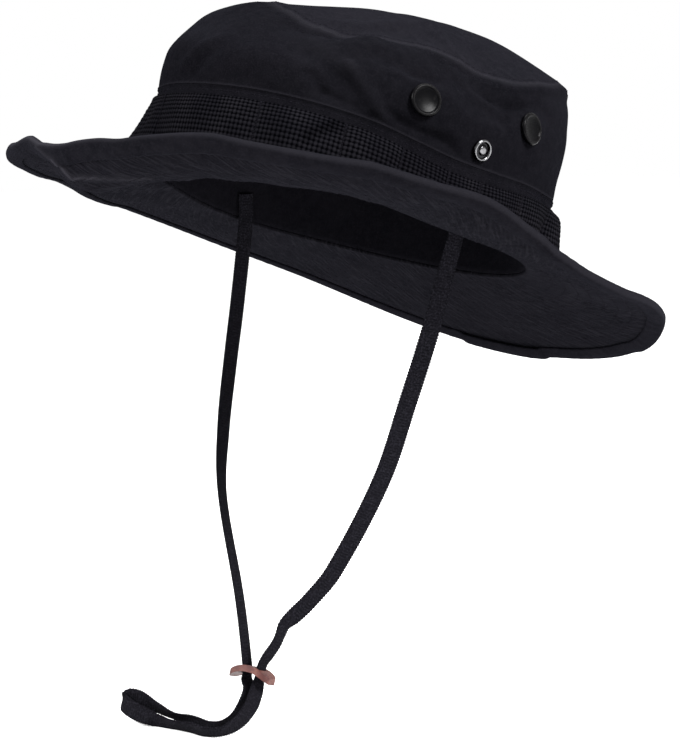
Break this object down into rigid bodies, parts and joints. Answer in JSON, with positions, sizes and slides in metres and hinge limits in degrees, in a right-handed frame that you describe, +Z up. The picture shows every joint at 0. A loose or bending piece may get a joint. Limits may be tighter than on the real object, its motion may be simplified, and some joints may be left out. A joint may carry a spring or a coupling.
{
  "type": "bush hat",
  "caption": "Soft bush hat with a slouched crown, a stitched brim with a bound edge, a webbing band, vent eyelets, press studs and a chin strap with a leather slider.",
  "frame": {"origin": "middle of the head opening, level with the seam between crown and brim at the front and back", "axes": "+Z up as the hat is held in the picture, the front of the hat towards -Y and tipped up 18.4 degrees, the wearer's left towards +X"},
  "size_m": [0.3122, 0.3155, 0.3479],
  "materials": {
    "cloth": "matte",
    "webbing": "matte",
    "black_metal": "gloss",
    "nickel": "polished",
    "leather": "satin"
  },
  "bodies": {
    "root": {"crown_top": "cloth", "crown_side": "cloth", "crown_base": "cloth", "foliage_band": "webbing", "brim": "cloth", "brim_binding": "cloth", "vent_left_front": "black_metal", "vent_left_back": "black_metal", "vent_right_front": "black_metal", "vent_right_back": "black_metal", "snap_crown_left": "nickel", "snap_crown_right": "nickel", "snap_brim_left": "nickel", "snap_brim_right": "nickel", "chin_strap": "webbing", "strap_slider": "leather"}
  },
  "joints": []
}
